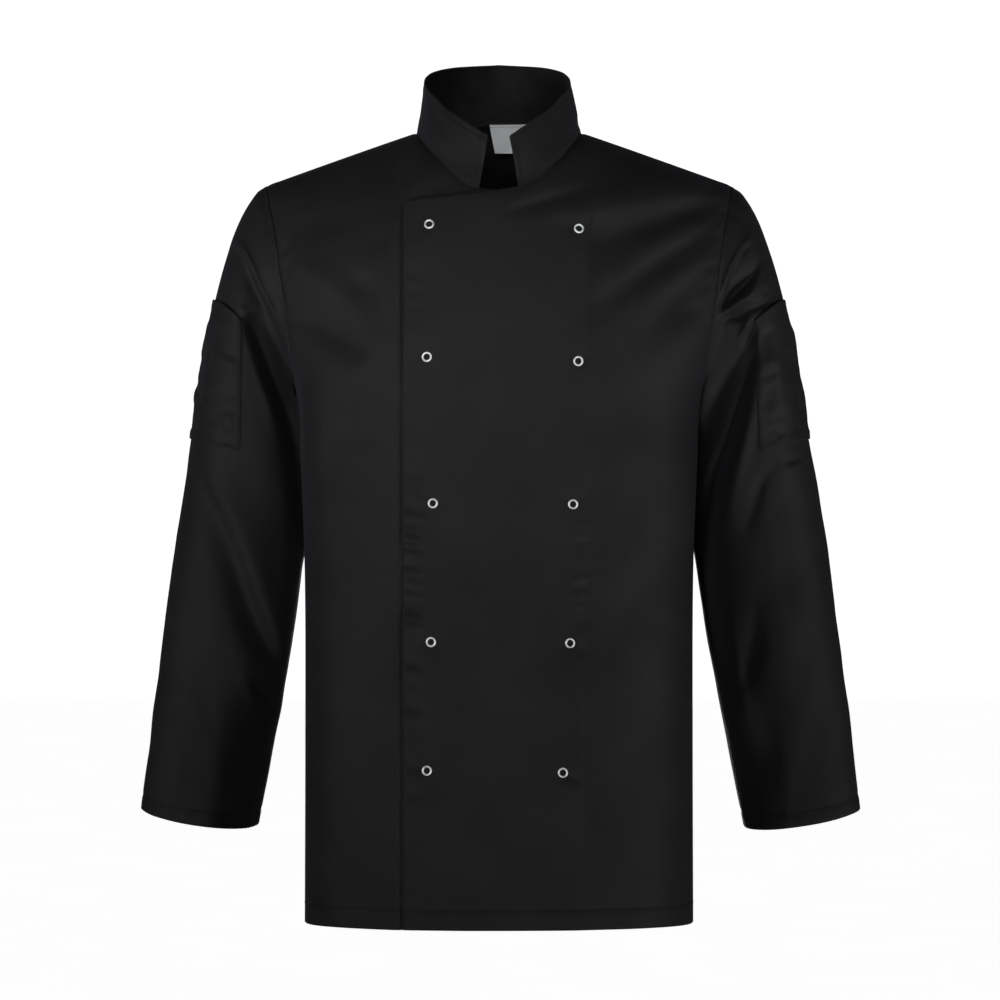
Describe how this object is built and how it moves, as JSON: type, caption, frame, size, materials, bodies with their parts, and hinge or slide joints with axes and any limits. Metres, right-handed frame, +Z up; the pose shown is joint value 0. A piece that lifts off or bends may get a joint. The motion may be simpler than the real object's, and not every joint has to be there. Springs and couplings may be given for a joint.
{
  "type": "chef jacket",
  "caption": "Long-sleeved, double-breasted chef jacket in dark twill with a stand collar, ring press studs and sleeve pockets.",
  "frame": {"origin": "midway between the two points where the collar meets the shoulder seams, in the plane of the side and shoulder seams", "axes": "+Z up along the wearer's spine, -Y out of the chest, +X to the wearer's left"},
  "size_m": [0.7215, 0.2607, 0.8605],
  "materials": {
    "twill": "matt",
    "stud_metal": "polished",
    "label": "satin"
  },
  "bodies": {
    "root": {"front_left": "twill", "front_right": "twill", "back": "twill", "sleeve_left": "twill", "pocket_left": "twill", "sleeve_right": "twill", "pocket_right": "twill", "collar": "twill", "neck_label": "label", "stud_a1": "stud_metal", "stud_b1": "stud_metal", "stud_a2": "stud_metal", "stud_b2": "stud_metal", "stud_a3": "stud_metal", "stud_b3": "stud_metal", "stud_a4": "stud_metal", "stud_b4": "stud_metal", "stud_a5": "stud_metal", "stud_b5": "stud_metal"}
  },
  "joints": []
}
